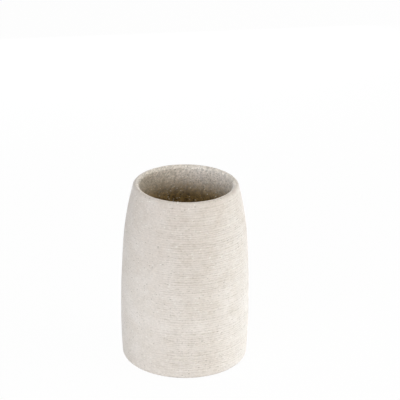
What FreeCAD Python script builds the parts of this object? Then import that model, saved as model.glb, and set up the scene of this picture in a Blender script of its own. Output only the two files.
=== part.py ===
"""A bathroom tumbler: a barrel-shaped cup cast in stone-filled resin, with a die-cut
foam disc stuck into a shallow recess under its base so that it doesn't slip.

Millimetres, +Z up. The origin is the centre of the face that the tumbler stands on.
Every piece is turned about Z, so each one is drawn as a half outline of (radius, height).
"""

import math
import os

import FreeCAD
import Part

# Overall form of the cup, measured on its outside
overall_height = 110.0
belly_diameter = 76.0
belly_height = 30.0
shoulder_height = 73.0

# How far the radius draws in from the belly, at the base, the shoulder and the lip's crest
base_draw_in = 1.2
shoulder_draw_in = 1.3
crest_draw_in = 8.9

# Lip, bore, floor and edges of the casting. The bore tapers so that it slides off its core.
lip_width = 4.0
bore_draft_degrees = 0.5
floor_thickness = 6.5
bottom_edge_radius = 3.5
bore_corner_radius = 6.0

# Anti-slip foot: a foam disc and its adhesive film, sunk in the underside
foot_ring_width = 4.5
recess_depth = 1.2
pad_side_clearance = 0.4
adhesive_thickness = 0.2
pad_thickness = 1.6
pad_edge_radius = 0.4

# Heights and radii that follow from the sizes above
base_height = adhesive_thickness + pad_thickness - recess_depth
floor_height = base_height + floor_thickness
lip_radius = lip_width / 2
bore_draft = math.radians(bore_draft_degrees)
belly_radius = belly_diameter / 2
shoulder_radius = belly_radius - shoulder_draw_in
crest_radius = belly_radius - crest_draw_in
quarter_turn = math.pi / 2


def direction(angle):
    """The unit vector at an angle from the radius, in the plane of the outline."""
    return FreeCAD.Vector(math.cos(angle), 0, math.sin(angle))


def point(radius, height):
    """A point of a half outline."""
    return FreeCAD.Vector(radius, 0, height)


def angle_of(vector):
    """The angle of a vector from the radius, in the plane of the outline."""
    return math.atan2(vector.z, vector.x)


def half_turn(start, heading, end):
    """Half the turn that an arc makes when it leaves start along heading and reaches end."""
    return math.remainder(angle_of(end - start) - heading, math.tau)


def tangent_arc(start, heading, end):
    """The arc that leaves start along heading and reaches end."""
    bend = half_turn(start, heading, end) / 2
    reach = (end - start).Length / (2 * math.cos(bend))
    middle = start + direction(heading + bend) * reach
    return Part.Arc(start, middle, end).toShape()


def barrel_radius(drop, rise):
    """The radius of the arc that leaves the belly upright and draws in by drop over rise."""
    return (drop**2 + rise**2) / (2 * drop)


def corner_arc(centre, side_angle, corner_radius):
    """The rounding between a flat and the side above it. side_angle is where it meets the
    side, seen from its centre."""
    on_flat = centre - point(0, corner_radius)
    middle = centre + direction((side_angle - quarter_turn) / 2) * corner_radius
    on_side = centre + direction(side_angle) * corner_radius
    return Part.Arc(on_flat, middle, on_side).toShape()


def line(start, end):
    """A straight stretch of a half outline."""
    return Part.LineSegment(start, end).toShape()


def turned(edges):
    """The solid that a closed half outline makes when it is turned about Z."""
    outline = Part.Wire(Part.__sortEdges__(edges))
    return Part.Face(outline).revolve(point(0, 0), FreeCAD.Vector(0, 0, 1), 360)


# The side below the belly is one arc, which is upright at the belly. It ends in the rounded
# bottom edge, and the foot ring is the flat between that edge and the recess.
low_radius = barrel_radius(base_draw_in, belly_height - base_height)
low_centre = point(belly_radius - low_radius, belly_height)
edge_height = base_height + bottom_edge_radius
edge_drop = (belly_height - edge_height) / (low_radius - bottom_edge_radius)
edge_angle = -math.asin(edge_drop)
edge_centre = low_centre + direction(edge_angle) * (low_radius - bottom_edge_radius)
recess_radius = edge_centre.x - foot_ring_width
pad_radius = recess_radius - pad_side_clearance

# The lip is a full round about this centre
lip_centre = point(crest_radius, overall_height - lip_radius)


def outer_side():
    """The outside from the bottom edge over the belly and the shoulder to the lip, as edges,
    and its upper end."""
    foot = low_centre + direction(edge_angle) * low_radius
    middle = low_centre + direction(edge_angle / 2) * low_radius
    belly = point(belly_radius, belly_height)
    shoulder = point(shoulder_radius, shoulder_height)
    shoulder_heading = quarter_turn + 2 * half_turn(belly, quarter_turn, shoulder)
    inwards = direction(shoulder_heading + quarter_turn)
    below_lip = shoulder + inwards * lip_radius
    lip_heading = shoulder_heading + 2 * half_turn(below_lip, shoulder_heading, lip_centre)
    lip = lip_centre + direction(lip_heading - quarter_turn) * lip_radius
    edges = [
        Part.Arc(foot, middle, belly).toShape(),
        tangent_arc(belly, quarter_turn, shoulder),
        tangent_arc(shoulder, shoulder_heading, lip),
    ]
    return edges, lip


def bore():
    """The inside from the lip down the tapered wall and round the corner to the middle of
    the floor, as edges, and its upper end."""
    lip = lip_centre + direction(math.pi - bore_draft) * lip_radius
    corner_height = floor_height + bore_corner_radius
    wall_radius = lip.x - math.tan(bore_draft) * (lip.z - corner_height)
    corner = point(wall_radius - bore_corner_radius / math.cos(bore_draft), corner_height)
    edges = [
        line(lip, corner + direction(-bore_draft) * bore_corner_radius),
        corner_arc(corner, -bore_draft, bore_corner_radius),
        line(corner - point(0, bore_corner_radius), point(0, floor_height)),
    ]
    return edges, lip


def make_cup_body():
    """The casting: a barrel outside, a tapered bore, a full-round lip, a rounded bottom edge
    and the recess for the foam disc underneath."""
    outside, outer_lip = outer_side()
    inside, inner_lip = bore()
    crest = point(crest_radius, overall_height)
    recess_height = base_height + recess_depth
    recess_middle = point(0, recess_height)
    recess_corner = point(recess_radius, recess_height)
    recess_mouth = point(recess_radius, base_height)
    return turned(
        [
            line(recess_middle, recess_corner),
            line(recess_corner, recess_mouth),
            line(recess_mouth, edge_centre - point(0, bottom_edge_radius)),
            corner_arc(edge_centre, edge_angle, bottom_edge_radius),
            *outside,
            Part.Arc(outer_lip, crest, inner_lip).toShape(),
            *inside,
            line(point(0, floor_height), recess_middle),
        ]
    )


def make_adhesive_disc():
    """The film between the foam disc and the recess, die-cut together with the foam."""
    return Part.makeCylinder(pad_radius, adhesive_thickness, FreeCAD.Vector(0, 0, pad_thickness))


def make_anti_slip_pad():
    """The foam disc that the tumbler stands on, with its lower edge rounded over."""
    pad = Part.makeCylinder(pad_radius, pad_thickness)
    lower_edges = [edge for edge in pad.Edges if edge.BoundBox.ZMax < pad_edge_radius]
    return pad.makeFillet(pad_edge_radius, lower_edges)


os.makedirs("parts", exist_ok=True)
pieces = {
    "cup_body": make_cup_body(),
    "adhesive_disc": make_adhesive_disc(),
    "anti_slip_pad": make_anti_slip_pad(),
}
for name, shape in pieces.items():
    shape.exportStep(f"parts/{name}.step")
    print(name, "valid" if shape.isValid() else "not valid", round(shape.Volume / 1000, 2), "cm3")
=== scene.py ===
# %% [markdown]
# # A ribbed bathroom tumbler
# This lesson dresses the plain solids of a bathroom tumbler for a picture. The real one is a
# barrel-shaped cup cast in resin that is filled with fine sand. Its outside carries fine
# level ribs, its inside is smooth, and a foam disc under the base keeps it from sliding.
#
# The solids come first, as a fixed frame in metres with +Z up. Each piece that is modelled
# below stands exactly where its solid stands, so nothing has to be fitted by eye.

# %% Load the solids
import math
import random

import bpy
from mathutils import Euler, Matrix, Vector


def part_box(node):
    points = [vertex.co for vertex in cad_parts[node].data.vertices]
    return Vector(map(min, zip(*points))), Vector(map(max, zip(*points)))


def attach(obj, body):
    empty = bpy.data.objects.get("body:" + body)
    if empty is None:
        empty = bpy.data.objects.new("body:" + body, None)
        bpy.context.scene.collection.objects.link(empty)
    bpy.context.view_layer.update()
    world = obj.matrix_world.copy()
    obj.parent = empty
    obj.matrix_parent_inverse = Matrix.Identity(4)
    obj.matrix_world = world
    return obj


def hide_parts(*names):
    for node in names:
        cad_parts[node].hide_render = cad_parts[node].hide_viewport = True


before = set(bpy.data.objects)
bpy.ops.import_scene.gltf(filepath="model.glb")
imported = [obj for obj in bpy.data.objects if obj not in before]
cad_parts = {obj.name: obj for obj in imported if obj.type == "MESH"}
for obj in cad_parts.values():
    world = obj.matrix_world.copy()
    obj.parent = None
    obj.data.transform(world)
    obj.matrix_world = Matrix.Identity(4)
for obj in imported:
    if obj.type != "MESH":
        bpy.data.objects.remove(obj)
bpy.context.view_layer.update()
cup_low, cup_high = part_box("cup_body")
pad_low, pad_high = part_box("anti_slip_pad")
print("cup from", cup_low, "to", cup_high)

# %% [markdown]
# ## Starting a mesh from one point
# The loader leaves the solids selected, and an operator acts on all that is selected, so
# everything is deselected before a new piece begins. A turned piece begins as one point: a
# small plane is added, and its four corners are merged. From there an outline can be drawn
# by extruding the point step by step, as one would click it along in the viewport.

# %% Helpers for turned pieces
MM = 0.001


def start_point(name, radius, height):
    """A new object in edit mode that holds one selected point of a half outline."""
    bpy.ops.object.select_all(action="DESELECT")
    bpy.ops.mesh.primitive_plane_add(size=MM, location=(0, 0, 0))
    piece = bpy.context.object
    piece.name = name
    piece.data.name = name
    bpy.ops.object.mode_set(mode="EDIT")
    bpy.ops.mesh.select_all(action="SELECT")
    bpy.ops.mesh.merge(type="CENTER")
    bpy.ops.transform.translate(value=(radius, 0, height))
    return piece


def draw_outline(points):
    """Extrudes the selected point along the next points of the half outline."""
    for (radius, height), (next_radius, next_height) in zip(points, points[1:]):
        step = (next_radius - radius, 0, next_height - height)
        bpy.ops.mesh.extrude_vertices_move(TRANSFORM_OT_translate={"value": step})


def turn_about_axis(steps):
    """Spins the whole outline about Z, closes its seam and poles, and points it outwards."""
    bpy.ops.mesh.select_all(action="SELECT")
    bpy.ops.mesh.spin(steps=steps, angle=math.tau, center=(0, 0, 0), axis=(0, 0, 1))
    bpy.ops.mesh.select_all(action="SELECT")
    bpy.ops.mesh.remove_doubles(threshold=0.002 * MM)
    bpy.ops.mesh.normals_make_consistent(inside=False)
    bpy.ops.object.mode_set(mode="OBJECT")


# %% [markdown]
# ## The barrel side of the cup
# The side is three arcs that run into each other without a kink: one below the belly, a very
# flat one up to the shoulder, and a rounder one that draws in to the lip, which is a full
# round. The sizes are the solid's own. The arcs are worked out again here, so that a radius
# can be read off at any height, which the ribs need.

# %% Sizes and arcs of the cup
belly_height = 30 * MM
shoulder_height = 73 * MM
base_draw_in = 1.2 * MM
shoulder_draw_in = 1.3 * MM
crest_draw_in = 8.9 * MM
lip_radius = 2 * MM
belly_radius = cup_high.x
base_height = cup_low.z


def barrel_radius(draw_in, rise):
    """The radius of an arc that is upright at the belly and draws in over that rise."""
    return (draw_in**2 + rise**2) / (2 * draw_in)


low_arc_radius = barrel_radius(base_draw_in, belly_height - base_height)
middle_arc_radius = barrel_radius(shoulder_draw_in, shoulder_height - belly_height)
shoulder_lean = math.asin((shoulder_height - belly_height) / middle_arc_radius)
shoulder = Vector((belly_radius - shoulder_draw_in, shoulder_height))
inwards = Vector((-math.cos(shoulder_lean), -math.sin(shoulder_lean)))
lip_centre = Vector((belly_radius - crest_draw_in, cup_high.z - lip_radius))
chord = lip_centre - (shoulder + inwards * lip_radius)
top_arc_radius = lip_radius + chord.length_squared / (2 * chord.dot(inwards))
top_arc_centre = shoulder + inwards * top_arc_radius
lip_lean = math.atan2(lip_centre.y - top_arc_centre.y, lip_centre.x - top_arc_centre.x)


def side_radius(height):
    """The radius of the smooth side at a height."""
    if height > shoulder_height:
        rise = height - top_arc_centre.y
        return top_arc_centre.x + math.sqrt(top_arc_radius**2 - rise**2)
    arc_radius = middle_arc_radius if height > belly_height else low_arc_radius
    rise = height - belly_height
    return belly_radius - arc_radius + math.sqrt(arc_radius**2 - rise**2)


print("lip leans", round(math.degrees(lip_lean), 1), "degrees")

# %% [markdown]
# ## The ribs up the side
# Fine level ribs run round the cup, about 1.4 mm apart. A bump in the material could draw
# them, but then the mesh itself would be plain, so they are real geometry: rounded crests with
# narrower grooves between them. The grooves are sunk into the side and the crests stay on it,
# so the cup keeps its size. They fade out near the lip and above the bottom edge.
#
# No two ribs are alike: each one is a little wider or narrower, deeper or shallower than the
# next. A seeded chooser varies them, the same way each time.

# %% Ribs up the side
rib_pitch = 1.42 * MM
rib_depth = 0.16 * MM
rib_fade = 3 * MM
pitch_spread = (0.75, 1.25)
depth_spread = (0.4, 1.2)
hand = random.Random(11)

# A groove, its flank, a crest and a flank: the share of the pitch, and of the depth there
rib_shape = ((0.0, 1.0), (0.25, 0.4), (0.5, 0.0), (0.78, 0.3))


def ribbed_side(bottom, top):
    """Points of the side between two heights, rib by rib."""
    points = []
    height = bottom + rib_pitch
    while height < top - rib_pitch:
        pitch = rib_pitch * hand.uniform(*pitch_spread)
        depth = rib_depth * hand.uniform(*depth_spread)
        for share, sink in rib_shape:
            z = height + pitch * share
            fade = min(1, (z - bottom) / rib_fade, (top - z) / rib_fade)
            points.append((side_radius(z) - depth * sink * max(0, fade), z))
        height += pitch
    return points


print("ribs", round(rib_pitch / MM, 2), "mm apart, about", round(rib_depth / MM, 2), "mm deep")

# %% [markdown]
# ## The smooth part of the outline
# The rest of the outline is smooth: the rounded bottom edge, the lip, the bore and the recess
# under the base that holds the foam disc. The bore was cast on a core, so it is straight and
# tapers by half a degree, which lets the core slide out. Its corner at the floor is rounded.

# %% Lip, bore and foot
bottom_edge_radius = 3.5 * MM
bore_draft = math.radians(0.5)
bore_corner_radius = 6 * MM
floor_height = base_height + 6.5 * MM
foot_ring_width = 4.5 * MM
recess_height = base_height + 1.2 * MM


def arc_points(centre, radius, start, end, count):
    """Points on an arc of the outline, from the start angle to the end angle."""
    angles = [start + (end - start) * i / count for i in range(count + 1)]
    return [(centre.x + radius * math.cos(a), centre.y + radius * math.sin(a)) for a in angles]


def bore_radius(height):
    """The radius of the tapered wall of the bore at a height."""
    return lip[-1][0] - math.tan(bore_draft) * (lip[-1][1] - height)


# The bottom edge is a rounding between the foot ring and the arc below the belly
edge_reach = low_arc_radius - bottom_edge_radius
edge_drop = belly_height - base_height - bottom_edge_radius
edge_angle = -math.asin(edge_drop / edge_reach)
edge_across = belly_radius - low_arc_radius + edge_reach * math.cos(edge_angle)
edge_centre = Vector((edge_across, base_height + bottom_edge_radius))
bottom_edge = arc_points(edge_centre, bottom_edge_radius, -math.pi / 2, edge_angle, 10)
recess_radius = edge_centre.x - foot_ring_width
recess = [(0, recess_height), (recess_radius, recess_height), (recess_radius, base_height)]

# The lip turns over into the bore, which ends in the rounded corner of its floor
lip = arc_points(lip_centre, lip_radius, lip_lean, math.pi - bore_draft, 16)
corner_height = floor_height + bore_corner_radius
corner_across = bore_radius(corner_height) - bore_corner_radius / math.cos(bore_draft)
corner_centre = Vector((corner_across, corner_height))
floor_edge = arc_points(corner_centre, bore_corner_radius, -bore_draft, -math.pi / 2, 12)
bore_steps = 40
bore_drop = (lip[-1][1] - floor_edge[0][1]) / bore_steps
bore_heights = [lip[-1][1] - bore_drop * i for i in range(1, bore_steps)]
bore = [(bore_radius(z), z) for z in bore_heights]

side = ribbed_side(bottom_edge[-1][1], lip[0][1])
outline = recess + bottom_edge + side + lip + bore + floor_edge + [(0, floor_height)]
print(len(side) // 4, "ribs,", len(outline), "points on the outline")

# %% [markdown]
# ## Turning the outline into the cup
# Spin does what the mould maker's lathe did: it turns the outline about the upright axis.
# The result is one closed shell, outside, lip, inside and foot together.

# %% Turn the cup
turning_steps = 208

cup = start_point("ribbed_cup", *outline[0])
draw_outline(outline)
turn_about_axis(turning_steps)
bpy.ops.object.shade_smooth_by_angle(angle=math.radians(45))
print(cup.name, len(cup.data.vertices), "vertices,", len(cup.data.polygons), "faces")

# %% [markdown]
# ## Breaking up the ribs
# A spun outline gives ribs that run round without a break. On the casting they come and go:
# sand grains stand in the way, and the rubbing took more here and less there. Two Displace
# modifiers do that. The first one reads its clouds through an empty that is stretched
# sideways, so it cuts short level scratches into the ribs, and it only reaches the side. The
# second one sinks the whole surface by a few hundredths of a millimetre, in soft dents. Both
# only sink, so the cup stays inside the size of its solid.

# %% Scratches along the ribs, and dents
scratch_length = 4 * MM
scratch_height = 1 * MM
scratch_depth = 0.12 * MM
dent_size = 3 * MM
dent_depth = 0.07 * MM


def sink_by_clouds(piece, name, cloud_size, depth):
    """A Displace modifier that sinks the piece by clouds of that size."""
    clouds = bpy.data.textures.new(name, "CLOUDS")
    clouds.noise_scale = cloud_size
    sinking = piece.modifiers.new(name, "DISPLACE")
    sinking.texture = clouds
    sinking.texture_coords = "LOCAL"
    sinking.mid_level = 1.0
    sinking.strength = depth
    return sinking


def on_ribs(point):
    """Whether a point of the cup lies on the ribbed side."""
    outside_wall = point.xy.length > bore_radius(point.z) + lip_radius
    return outside_wall and side[0][1] <= point.z <= side[-1][1]


bpy.ops.object.select_all(action="DESELECT")
bpy.ops.object.empty_add(location=(0, 0, 0))
stretch = bpy.context.object
stretch.scale = (scratch_length, scratch_length, scratch_height)
outside = cup.vertex_groups.new(name="side")
outside.add([vertex.index for vertex in cup.data.vertices if on_ribs(vertex.co)], 1.0, "REPLACE")

scratches = sink_by_clouds(cup, "scratches", 1.0, scratch_depth)
scratches.texture_coords = "OBJECT"
scratches.texture_coords_object = stretch
scratches.vertex_group = outside.name
dents = sink_by_clouds(cup, "dents", dent_size, dent_depth)
bpy.ops.object.select_all(action="DESELECT")
cup.select_set(True)
bpy.context.view_layer.objects.active = cup
bpy.ops.object.modifier_apply(modifier=scratches.name)
bpy.ops.object.modifier_apply(modifier=dents.name)
bpy.data.objects.remove(stretch)
print("cup is", [round(length / MM, 2) for length in cup.dimensions], "mm")

# %% [markdown]
# ## One flank rubbed smoother
# The ribs don't stand out equally all round. The rubbing went on longer at the left of the
# front, and there they nearly vanish. Each point of that flank moves most of the way to the
# mean depth of the ribs, and the change comes in gradually round the cup.

# %% Rub the left flank
full_depth = rib_depth + scratch_depth
mean_depth = 0.47 * full_depth
flank_azimuth = math.radians(-56)
flank = Vector((math.sin(flank_azimuth), -math.cos(flank_azimuth)))
flank_edge = math.cos(math.radians(46))
flank_heart = math.cos(math.radians(26))
flank_rubbing = 0.85

for vertex in cup.data.vertices:
    if on_ribs(vertex.co):
        radius = vertex.co.xy.length
        share = (vertex.co.xy.dot(flank) / radius - flank_edge) / (flank_heart - flank_edge)
        rubbed_radius = side_radius(vertex.co.z) - mean_depth
        move = (rubbed_radius - radius) * flank_rubbing * min(max(share, 0), 1)
        vertex.co.xy *= (radius + move) / radius
print("full depth of the ribs", round(full_depth / MM, 2), "mm")

# %% [markdown]
# The finish needs to know where the grooves are. Each point of the outside keeps how deep it
# lies below the crests, from 0 to 1, as a named attribute of the mesh.

# %% Note the depth of the grooves
groove = cup.data.attributes.new("groove", "FLOAT", "POINT")
for vertex, note in zip(cup.data.vertices, groove.data):
    radius = vertex.co.xy.length
    sink = side_radius(vertex.co.z) - radius if on_ribs(vertex.co) else mean_depth
    note.value = min(sink / full_depth, 1)
print("mean groove", round(sum(note.value for note in groove.data) / len(groove.data), 2))

# %% [markdown]
# ## The foam foot
# A disc of foam is die-cut from sheet and stuck into the recess with a film of adhesive. A die
# presses the soft edge down a little before it cuts through, which leaves the lower edge
# rounded. It is turned like the cup, and stands where the solid disc stands.

# %% Turn the foam disc
pad_radius = pad_high.x
pad_edge_radius = 0.4 * MM
pad_side_bulge = 0.08 * MM
pad_turning_steps = 128
pad_corner = Vector((pad_radius - pad_edge_radius, pad_edge_radius))
pad_rings = [(pad_radius * share, 0.0) for share in (0.2, 0.4, 0.6, 0.8, 0.93)]
pad_outline = [(0, 0.0), *pad_rings]
pad_outline += arc_points(pad_corner, pad_edge_radius, -math.pi / 2, 0, 8)
pad_outline += [(pad_radius - pad_side_bulge, (pad_high.z + pad_edge_radius) / 2)]
pad_outline += [(pad_radius, pad_high.z - pad_side_bulge)]
pad_outline += [(pad_radius - pad_side_bulge, pad_high.z), (0, pad_high.z)]

foam_foot = start_point("foam_foot", *pad_outline[0])
draw_outline(pad_outline)
turn_about_axis(pad_turning_steps)
bpy.ops.object.shade_smooth_by_angle(angle=math.radians(40))
print(foam_foot.name, len(foam_foot.data.polygons), "faces")

# %% [markdown]
# ## Tools for the materials
# Colours are written as the hex values that a paint program shows. Shaders work with light,
# not with screen values, so one function turns a hex value to linear. A second one adds a
# node with its settings and links. All patterns read Object coordinates, in metres, so a
# grain of half a millimetre has a scale of one over 0.0005.

# %% Helpers for materials
def linear(hex_colour):
    """A screen colour such as #d8ccbf as linear red, green, blue and alpha."""
    channels = [int(hex_colour[i : i + 2], 16) / 255 for i in (1, 3, 5)]
    return (*[c / 12.92 if c <= 0.04045 else ((c + 0.055) / 1.055) ** 2.4 for c in channels], 1)


def add_node(material, kind, settings=None, **inputs):
    """Adds a node. settings are its own, and inputs are values or sockets for its sockets,
    by name with _ for a space, or by number as i0, i1 and so on."""
    node = material.node_tree.nodes.new(kind)
    for key, value in (settings or {}).items():
        setattr(node, key, value)
    for key, value in inputs.items():
        socket = node.inputs[int(key[1:]) if key[1:].isdigit() else key.replace("_", " ")]
        if isinstance(value, bpy.types.NodeSocket):
            material.node_tree.links.new(value, socket)
        else:
            socket.default_value = value
    return node


def new_material(name):
    """A new node material, its Principled shader and its Object coordinates."""
    material = bpy.data.materials.new(name)
    material.use_nodes = True
    shader = material.node_tree.nodes["Principled BSDF"]
    coordinates = add_node(material, "ShaderNodeTexCoord").outputs["Object"]
    return material, shader, coordinates


def per_metre(size_mm):
    """The texture scale whose features are that many millimetres across."""
    return 1 / (size_mm * MM)


# %% [markdown]
# ## Sand-filled resin
# The cup is polyester resin with a heavy fill of pale sand. It was cast in a mould, and its
# outside was rubbed matt afterwards. The eye sees a warm, slightly blotchy off-white and a
# fine salt and pepper of grains. The inside was left as the mould made it.
#
# A picture of stone could be wrapped round the cup, but it would have a seam and one fixed
# sharpness. Procedural patterns have neither. Both finishes are layers of one recipe, and each
# layer lays one more colour over the last, where a mask from 0 to 1 says so. The tones come
# first: soft blotches, and a change of tone with height.

# %% Tones of resin
def lay_over(material, below, mask, colour):
    """One layer more: the colour over what is below, where the mask says so."""
    mixed = add_node(
        material, "ShaderNodeMix", {"data_type": "RGBA"}, i0=mask, i6=below, i7=colour
    )
    return mixed.outputs[2]


def blotches(material, coordinates, darker, lighter):
    """Soft blotches about 11 mm across, where the mix of resin and sand changes."""
    cloud = add_node(
        material,
        "ShaderNodeTexNoise",
        Vector=coordinates,
        Scale=per_metre(11),
        Detail=3.0,
        Roughness=0.6,
    )
    mask = add_node(
        material,
        "ShaderNodeMapRange",
        Value=cloud.outputs["Fac"],
        From_Min=0.35,
        From_Max=0.65,
    )
    return lay_over(material, linear(darker), mask.outputs["Result"], linear(lighter))


def by_height(material, coordinates, low, high, low_tone, high_tone):
    """A tone that changes over from one height to another."""
    place = add_node(material, "ShaderNodeSeparateXYZ", Vector=coordinates)
    share = add_node(
        material,
        "ShaderNodeMapRange",
        {"interpolation_type": "SMOOTHSTEP"},
        Value=place.outputs["Z"],
        From_Min=low,
        From_Max=high,
    )
    return lay_over(material, low_tone, share.outputs["Result"], high_tone)


# %% [markdown]
# ## Grains and flecks
# Grains of sand lie side by side in the resin, and Voronoi cells pack the same way. Real grains
# are 0.2 to 0.5 mm across, too fine to show in the picture, so they are drawn about 1 mm
# across. Some stand out as flecks: a share of the cells holds one dark or one light grain.

# %% Grains and flecks
def sand_grains(material, coordinates, below, size_mm, spread):
    """Grains packed side by side, each a little lighter or darker than the resin."""
    cells = add_node(
        material, "ShaderNodeTexVoronoi", Vector=coordinates, Scale=per_metre(size_mm)
    )
    shade = add_node(
        material,
        "ShaderNodeMapRange",
        Value=cells.outputs["Color"],
        To_Min=1 - spread,
        To_Max=1 + spread,
    )
    shaded = add_node(
        material,
        "ShaderNodeMix",
        {"data_type": "RGBA", "blend_type": "MULTIPLY"},
        i0=1.0,
        i6=below,
        i7=shade.outputs["Result"],
    )
    return shaded.outputs[2], cells.outputs["Color"]


def flecks(material, coordinates, below, turn, spacing_mm, share, strength, colour):
    """Single grains of one colour. share is how many of the cells hold one."""
    turned = add_node(
        material,
        "ShaderNodeMapping",
        Vector=coordinates,
        Rotation=(0, 0, turn),
        Scale=(1, 1, 1.8),
    )
    cells = add_node(
        material,
        "ShaderNodeTexVoronoi",
        Vector=turned.outputs["Vector"],
        Scale=per_metre(spacing_mm),
    )
    draw = add_node(material, "ShaderNodeSeparateColor", Color=cells.outputs["Color"])
    size = add_node(
        material,
        "ShaderNodeMapRange",
        Value=draw.outputs["Red"],
        From_Max=share,
        To_Min=0.42,
        To_Max=0.0,
    )
    room = add_node(
        material,
        "ShaderNodeMath",
        {"operation": "SUBTRACT"},
        i0=size.outputs["Result"],
        i1=cells.outputs["Distance"],
    )
    mask = add_node(
        material,
        "ShaderNodeMapRange",
        Value=room.outputs["Value"],
        From_Max=0.16,
        To_Max=strength,
    )
    return lay_over(material, below, mask.outputs["Result"], linear(colour))


# %% [markdown]
# ## Streaks along the ribs
# Painted shade in the grooves and a painted highlight on the crests don't run round the cup
# unbroken. Noise that is squeezed upright gives short level streaks, and they break both up.

# %% Streaks along the ribs
def streaks(material, coordinates, depth, length_mm, strength):
    """A mask of short level streaks, four times as long as high, for a depth of 0 to 1."""
    level = add_node(material, "ShaderNodeMapping", Vector=coordinates, Scale=(1, 1, 4))
    cloud = add_node(
        material,
        "ShaderNodeTexNoise",
        Vector=level.outputs["Vector"],
        Scale=per_metre(length_mm),
        Detail=1.0,
    )
    broken = add_node(
        material,
        "ShaderNodeMapRange",
        Value=cloud.outputs["Fac"],
        From_Min=0.42,
        From_Max=0.64,
        To_Min=0.12 * strength,
        To_Max=strength,
    )
    mask = add_node(
        material,
        "ShaderNodeMath",
        {"operation": "MULTIPLY"},
        i0=depth,
        i1=broken.outputs["Result"],
    )
    return mask.outputs["Value"]


# %% [markdown]
# ## Grit and gloss
# Grit stands a little proud of the resin. It is too small to be worth geometry, so a bump shows
# it. The gloss changes from grain to grain, which keeps the surface from looking like plastic.

# %% Grit and gloss
def gritty_relief(material, coordinates, shader, grit_mm, depth_mm):
    """The grit that the resin leaves standing, as a bump."""
    grit = add_node(
        material,
        "ShaderNodeTexNoise",
        Vector=coordinates,
        Scale=per_metre(grit_mm),
        Detail=2.0,
    )
    relief = add_node(
        material, "ShaderNodeBump", Height=grit.outputs["Fac"], Distance=depth_mm * MM
    )
    material.node_tree.links.new(relief.outputs["Normal"], shader.inputs["Normal"])


def grain_gloss(material, shader, grains, roughness):
    """Each grain shines a little more or less than the next."""
    gloss = add_node(
        material,
        "ShaderNodeMapRange",
        Value=grains,
        To_Min=roughness - 0.08,
        To_Max=roughness + 0.08,
    )
    material.node_tree.links.new(gloss.outputs["Result"], shader.inputs["Roughness"])


# %% [markdown]
# ## The rubbed outside
# The cup is painted a little paler below and darker near the lip: painted light low down and
# painted shade near the top. The grooves get painted shade and the crests a painted highlight,
# both in short streaks. One texture could hold all this, but the mesh knows where its grooves are,
# so the streaks read that.

# %% Rubbed outside
# Polyester resin filled with sand, cast and then rubbed matt. It looks dry and grainy, with a
# faint soft sheen at the edges and no clear reflection.
rubbed, shader, coordinates = new_material("sand_resin_rubbed")
# Painted light and shade by height: the low tone is paler, the high tone is darker near the lip
low_tone = blotches(rubbed, coordinates, "#e3d9d2", "#ebe2dd")
high_tone = blotches(rubbed, coordinates, "#d5c9c1", "#dcd2cc")
colour = by_height(rubbed, coordinates, belly_height, cup_high.z, low_tone, high_tone)
colour, grains = sand_grains(rubbed, coordinates, colour, size_mm=0.8, spread=0.08)
colour = flecks(
    rubbed, coordinates, colour,
    turn=0.4, spacing_mm=1.7, share=0.28, strength=0.5, colour="#84786a",
)
colour = flecks(
    rubbed, coordinates, colour,
    turn=1.3, spacing_mm=1.7, share=0.32, strength=0.6, colour="#fbf8f3",
)
groove_depth = add_node(rubbed, "ShaderNodeAttribute", {"attribute_name": "groove"}).outputs["Fac"]
in_groove = add_node(
    rubbed, "ShaderNodeMapRange", Value=groove_depth, From_Min=0.35, From_Max=0.8
).outputs["Result"]
on_crest = add_node(
    rubbed, "ShaderNodeMapRange", Value=groove_depth, From_Min=0.6, From_Max=0.2
).outputs["Result"]
# Painted shade in the grooves and a painted highlight on the crests, in short streaks
groove_shade = streaks(rubbed, coordinates, in_groove, length_mm=2.0, strength=0.45)
colour = lay_over(rubbed, colour, groove_shade, linear("#a39584"))
crest_highlight = streaks(rubbed, coordinates, on_crest, length_mm=1.7, strength=0.42)
colour = lay_over(rubbed, colour, crest_highlight, linear("#f6f0e8"))
rubbed.node_tree.links.new(colour, shader.inputs["Base Color"])
gritty_relief(rubbed, coordinates, shader, grit_mm=0.6, depth_mm=0.05)
grain_gloss(rubbed, shader, grains, roughness=0.74)
shader.inputs["IOR"].default_value = 1.52
shader.inputs["Sheen Weight"].default_value = 0.15
shader.inputs["Sheen Roughness"].default_value = 0.5
cup.data.materials.append(rubbed)
print(rubbed.name, "has", len(rubbed.node_tree.nodes), "nodes")

# %% [markdown]
# ## The inside as cast
# The inside keeps the skin that the core gave it. It is browner than outside, partly from resin
# that gathers there and partly as painted shade of the deep bore, and its grains stand out more.
# The lip was rubbed with the outside, and its pale tone fades into the brown over the first 2 to
# 21 mm of the bore, which also paints the shade that deepens down the wall. Lower down the settled
# sand makes it paler again. So three tones are made here: for the lip, for the wall and for the
# floor.

# %% Tones of the inside
# The same sand-filled resin, smooth from the core. It shows dark and pale grains under a low
# gloss.
as_cast, shader, coordinates = new_material("sand_resin_as_cast")
lip_tone = blotches(as_cast, coordinates, "#ddd3c9", "#e5dcd5")
lip_tone, _ = sand_grains(as_cast, coordinates, lip_tone, size_mm=0.9, spread=0.3)
lip_tone = flecks(
    as_cast, coordinates, lip_tone,
    turn=0.9, spacing_mm=1.3, share=0.4, strength=0.6, colour="#84735c",
)
lip_tone = flecks(
    as_cast, coordinates, lip_tone,
    turn=1.7, spacing_mm=1.5, share=0.4, strength=0.9, colour="#fffcf5",
)
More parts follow.
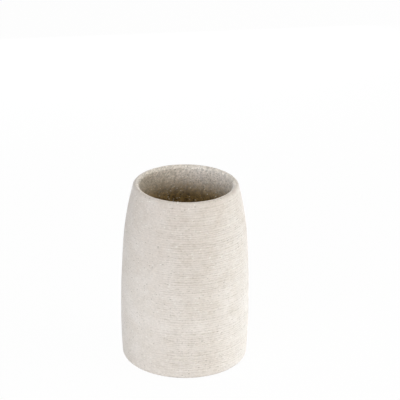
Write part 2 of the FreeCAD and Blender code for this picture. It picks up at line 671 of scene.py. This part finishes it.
# Brown of the wall: partly the resin's own tone, partly painted shade of the deep bore
inner_tone = blotches(as_cast, coordinates, "#896f43", "#967c50")
inner_tone, grains = sand_grains(as_cast, coordinates, inner_tone, size_mm=1.3, spread=0.6)
inner_tone = flecks(
    as_cast, coordinates, inner_tone,
    turn=0.4, spacing_mm=1.5, share=0.4, strength=0.85, colour="#3d3225",
)
inner_tone = flecks(
    as_cast, coordinates, inner_tone,
    turn=1.3, spacing_mm=1.5, share=0.45, strength=0.9, colour="#efe6d6",
)
floor_tone = blotches(as_cast, coordinates, "#b3a286", "#bfaf95")
floor_tone, _ = sand_grains(as_cast, coordinates, floor_tone, size_mm=1.2, spread=0.25)
print("tones of the inside:", len(as_cast.node_tree.nodes), "nodes")

# %% [markdown]
# The height decides which of the three tones shows. Painting the wall in bands would leave
# hard edges, so each tone changes over gradually into the next.

# %% Inside as cast
settled_low = cup_high.z - 75 * MM
settled_high = cup_high.z - 35 * MM
inner_tone = by_height(as_cast, coordinates, settled_low, settled_high, floor_tone, inner_tone)
# The fade from the pale lip to the browner wall is partly painted shade that deepens down the bore
fade_start = cup_high.z - 21 * MM
fade_end = cup_high.z - 2 * MM
colour = by_height(as_cast, coordinates, fade_start, fade_end, inner_tone, lip_tone)
as_cast.node_tree.links.new(colour, shader.inputs["Base Color"])
gritty_relief(as_cast, coordinates, shader, grit_mm=1.3, depth_mm=0.2)
grain_gloss(as_cast, shader, grains, roughness=0.42)
shader.inputs["IOR"].default_value = 1.52
cup.data.materials.append(as_cast)
print("materials on the cup:", [m.name for m in cup.data.materials])

# %% [markdown]
# The outside, its lip and the foot ring take the rubbed finish. The inside begins at the crest
# of the lip and takes the finish as cast.

# %% Which faces are inside
inside_faces = 0
for face in cup.data.polygons:
    radius = math.hypot(face.center.x, face.center.y)
    over_floor = face.center.z > floor_height - 0.1 * MM
    inside = over_floor and radius < min(lip_centre.x, bore_radius(face.center.z) + lip_radius)
    face.material_index = 1 if inside else 0
    inside_faces += inside
print(inside_faces, "faces inside")

# %% [markdown]
# ## Foam and adhesive
# The foot is EVA foam, cut from a sheet. The film of adhesive shows only as a thin edge in the
# gap round the foam, so its solid stays and only gets a better finish.

# %% Foam and adhesive film
# EVA foam, cut from a sheet: a dull grey-beige with fine closed pores. Real pores are about
# 0.2 mm across and would not show, so they are drawn at 0.6 mm.
foam, shader, coordinates = new_material("eva_foam")
pores = add_node(
    foam, "ShaderNodeTexVoronoi", Vector=coordinates, Scale=per_metre(0.6)
)
# The ramp darkens the pits of the pores: painted shade
pore_shade = add_node(foam, "ShaderNodeValToRGB", Fac=pores.outputs["Distance"])
pore_shade.color_ramp.elements[0].color = linear("#8f897e")
pore_shade.color_ramp.elements[1].color = linear("#bdb7ab")
foam.node_tree.links.new(pore_shade.outputs["Color"], shader.inputs["Base Color"])
pits = add_node(
    foam, "ShaderNodeBump", Height=pores.outputs["Distance"], Strength=0.6, Distance=0.1 * MM
)
foam.node_tree.links.new(pits.outputs["Normal"], shader.inputs["Normal"])
shader.inputs["Roughness"].default_value = 0.9
foam_foot.data.materials.append(foam)

# Acrylic adhesive film, coated smooth on its liner: satin and faintly cloudy
film, shader, coordinates = new_material("acrylic_adhesive_film")
haze = add_node(film, "ShaderNodeTexNoise", Vector=coordinates, Scale=per_metre(4), Detail=2.0)
haze_shade = add_node(film, "ShaderNodeValToRGB", Fac=haze.outputs["Fac"])
haze_shade.color_ramp.elements[0].color = linear("#d8cfb9")
haze_shade.color_ramp.elements[1].color = linear("#e6e0d0")
film.node_tree.links.new(haze_shade.outputs["Color"], shader.inputs["Base Color"])
shader.inputs["Roughness"].default_value = 0.4
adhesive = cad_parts["adhesive_disc"]
adhesive.data.materials.clear()
adhesive.data.materials.append(film)
print("foam on", foam_foot.name, "and film on", adhesive.name)

# %% [markdown]
# ## Joining the pieces to the frame
# Nothing moves on a tumbler, so every piece rides on the one body, the root. Each new piece
# says which solid it stands for.

# %% Ride and replace
for piece, node, slot in (
    (cup, "cup_body", "sand_resin"),
    (foam_foot, "anti_slip_pad", "foam_pad"),
):
    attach(piece, "root")
    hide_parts(node)
    print(piece.name, "stands for", node)

# %% [markdown]
# ## The floor
# The tumbler stands on white paper. More light would make the paper white in the picture, but
# it would bleach the cup too. So the eye sees the paper mostly as plain white, while for all
# other rays it is ordinary paper, which throws light back up and keeps the cup's shadow.

# %% White floor
def seen_by_eye(material):
    """1 for a ray from the camera, also by way of a gloss or through glass, and 0 for others."""
    ray = add_node(material, "ShaderNodeLightPath")
    seen = ray.outputs["Is Camera Ray"]
    for kind in ("Is Glossy Ray", "Is Transmission Ray"):
        either = add_node(
            material, "ShaderNodeMath", {"operation": "MAXIMUM"}, i0=seen, i1=ray.outputs[kind]
        )
        seen = either.outputs["Value"]
    return seen


bpy.ops.object.select_all(action="DESELECT")
bpy.ops.mesh.primitive_plane_add(size=6, location=(0, 0, 0))
floor = bpy.context.object
floor.name = "floor"

# Matt white paper: even and bright, with no gloss
paper_white = 0.97
paper, shader, _ = new_material("white_paper")
shader.inputs["Base Color"].default_value = linear("#f4f4f2")
shader.inputs["Roughness"].default_value = 0.9
glow = add_node(paper, "ShaderNodeEmission", Strength=1.0)
white_share = add_node(
    paper, "ShaderNodeMapRange", Value=seen_by_eye(paper), To_Max=paper_white
)
sheet = add_node(
    paper,
    "ShaderNodeMixShader",
    i0=white_share.outputs["Result"],
    i1=shader.outputs["BSDF"],
    i2=glow.outputs["Emission"],
)
paper.node_tree.links.new(
    sheet.outputs["Shader"], paper.node_tree.nodes["Material Output"].inputs["Surface"]
)
floor.data.materials.append(paper)
print("floor of", paper.name)

# %% [markdown]
# ## Studio light
# One large box of light would flatten the ribs. Here a low card and a box stand to the right, a
# box at the front left is the strongest, a weaker one stands beside it, and soft ones hang
# above and stand behind. Most of them stand low, so the light passes across the mouth, and
# the inside falls off quickly into shade.

# %% Studio light
world_light = 0.12
middle_height = 0.055
scene = bpy.context.scene
world = bpy.data.worlds.new("white_room")
scene.world = world
world.use_nodes = True
background = world.node_tree.nodes["Background"]
strength = add_node(
    world, "ShaderNodeMapRange", Value=seen_by_eye(world), To_Min=world_light, To_Max=1.0
)
background.inputs["Color"].default_value = (1, 1, 1, 1)
world.node_tree.links.new(strength.outputs["Result"], background.inputs["Strength"])


def soft_box(name, azimuth, elevation, distance, width, height, power, colour):
    """A rectangle of light that looks at the middle of the cup."""
    turn = math.radians(azimuth)
    across = math.cos(math.radians(elevation))
    rise = math.sin(math.radians(elevation))
    aim = Vector((0, 0, middle_height))
    towards = Vector((math.sin(turn) * across, -math.cos(turn) * across, rise))
    lamp = bpy.data.lights.new(name, "AREA")
    lamp.shape = "RECTANGLE"
    lamp.size = width
    lamp.size_y = height
    lamp.energy = power
    lamp.color = linear(colour)[:3]
    holder = bpy.data.objects.new(name, lamp)
    holder.location = aim + towards * distance
    holder.rotation_euler = (-towards).to_track_quat("-Z", "Y").to_euler()
    scene.collection.objects.link(holder)
    return holder


# Each one's name, azimuth and elevation in degrees, distance, width and height in metres,
# power in watts, and colour
soft_box("right_card", 96, 1, 0.6, 0.5, 0.11, 2.15, "#ebf6ff")
soft_box("right_box", 75, 35, 0.9, 0.6, 0.6, 2.45, "#fffdea")
soft_box("left_box", -45, 22, 1.0, 0.6, 0.6, 2.55, "#dff3ff")
soft_box("front_box", -26, 15, 1.2, 0.4, 0.4, 4.6, "#fffaf6")
soft_box("top_box", 0, 80, 0.9, 0.8, 0.8, 2.27, "#fffffa")
soft_box("back_box", 165, 12, 1.0, 0.8, 0.8, 2.0, "#fffaf4")
soft_box("rear_card", -171, 1, 0.6, 0.5, 0.11, 1.1, "#eef6ff")
scene.view_settings.view_transform = "Standard"

# %% [markdown]
# ## The camera
# The camera is a long lens, some twelve cup heights away, a quarter of a right angle above the
# table. Its place comes from the ellipse of the mouth and the lines of the sides. A shorter
# lens from nearby could frame the cup too, but it would make the mouth too large.

# %% Camera
lens_data = bpy.data.cameras.new("camera")
camera = bpy.data.objects.new("camera", lens_data)
scene.collection.objects.link(camera)
camera_across = 0.00833
camera_distance = 1.320
camera_rise = math.radians(24.53)
camera_pitch = math.radians(22.75)
camera_roll = math.radians(0.66)
camera.location = (
    camera_across,
    -camera_distance * math.cos(camera_rise),
    middle_height + camera_distance * math.sin(camera_rise),
)
look_down = Euler((math.pi / 2 - camera_pitch, 0, 0)).to_matrix()
camera.rotation_euler = (look_down @ Matrix.Rotation(camera_roll, 3, "Z")).to_euler()
focal_share = 2231.7 / 400  # the focal length as a share of the picture's width
lens_data.sensor_width = 36
lens_data.lens = lens_data.sensor_width * focal_share
scene.camera = camera
print("lens", round(lens_data.lens, 1), "mm")
